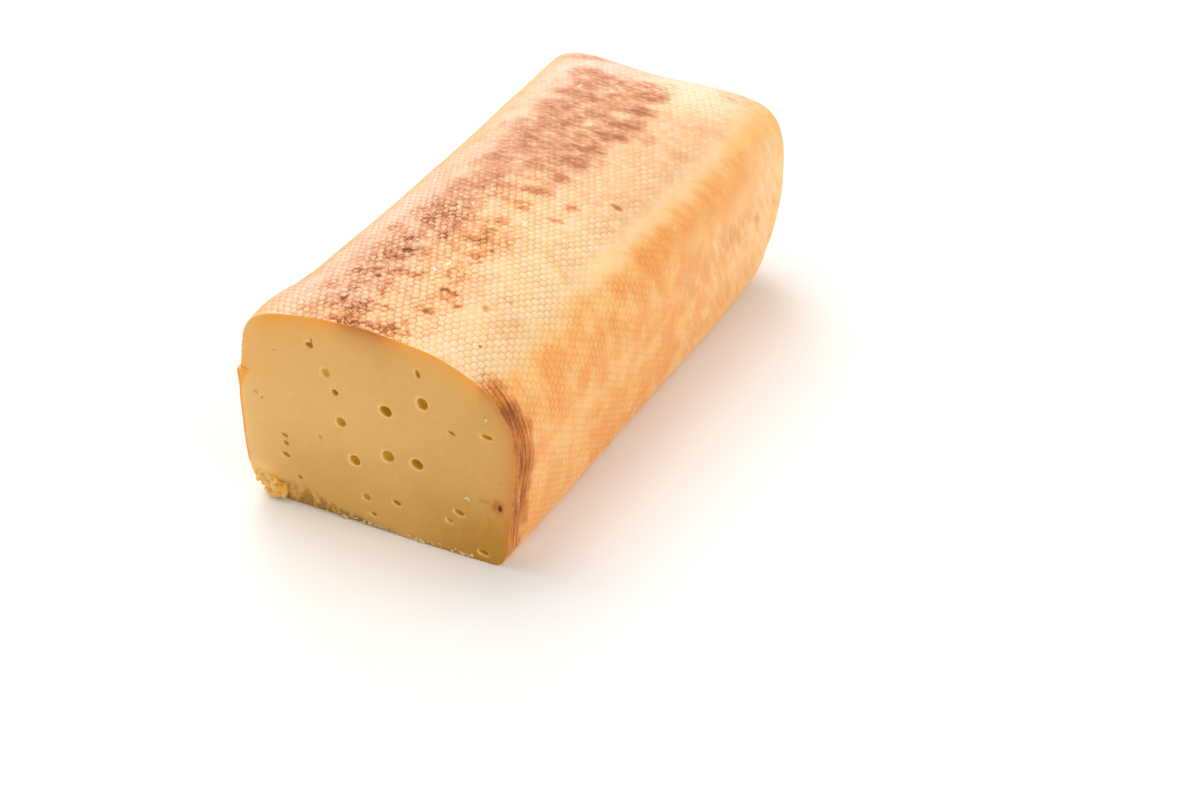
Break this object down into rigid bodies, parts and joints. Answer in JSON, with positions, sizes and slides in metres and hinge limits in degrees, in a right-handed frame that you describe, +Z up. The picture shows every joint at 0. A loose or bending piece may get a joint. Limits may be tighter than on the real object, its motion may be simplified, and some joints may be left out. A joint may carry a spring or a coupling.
{
  "type": "smoked cheese loaf",
  "caption": "Smoked baby swiss cheese loaf with a net-marked rind, one rounded end and a flat cut face with round eyes and a torn foot.",
  "frame": {"origin": "centre of the bounding box on the plane the loaf rests on", "axes": "+Z up, +Y along the loaf from the cut face to the rounded end, +X to the right seen from the cut face"},
  "size_m": [0.1368, 0.2834, 0.0992],
  "materials": {
    "cheese": "waxy cut paste, dry net-marked rind mottled brown by smoke"
  },
  "bodies": {
    "root": {"cheese_loaf": "cheese"}
  },
  "joints": []
}
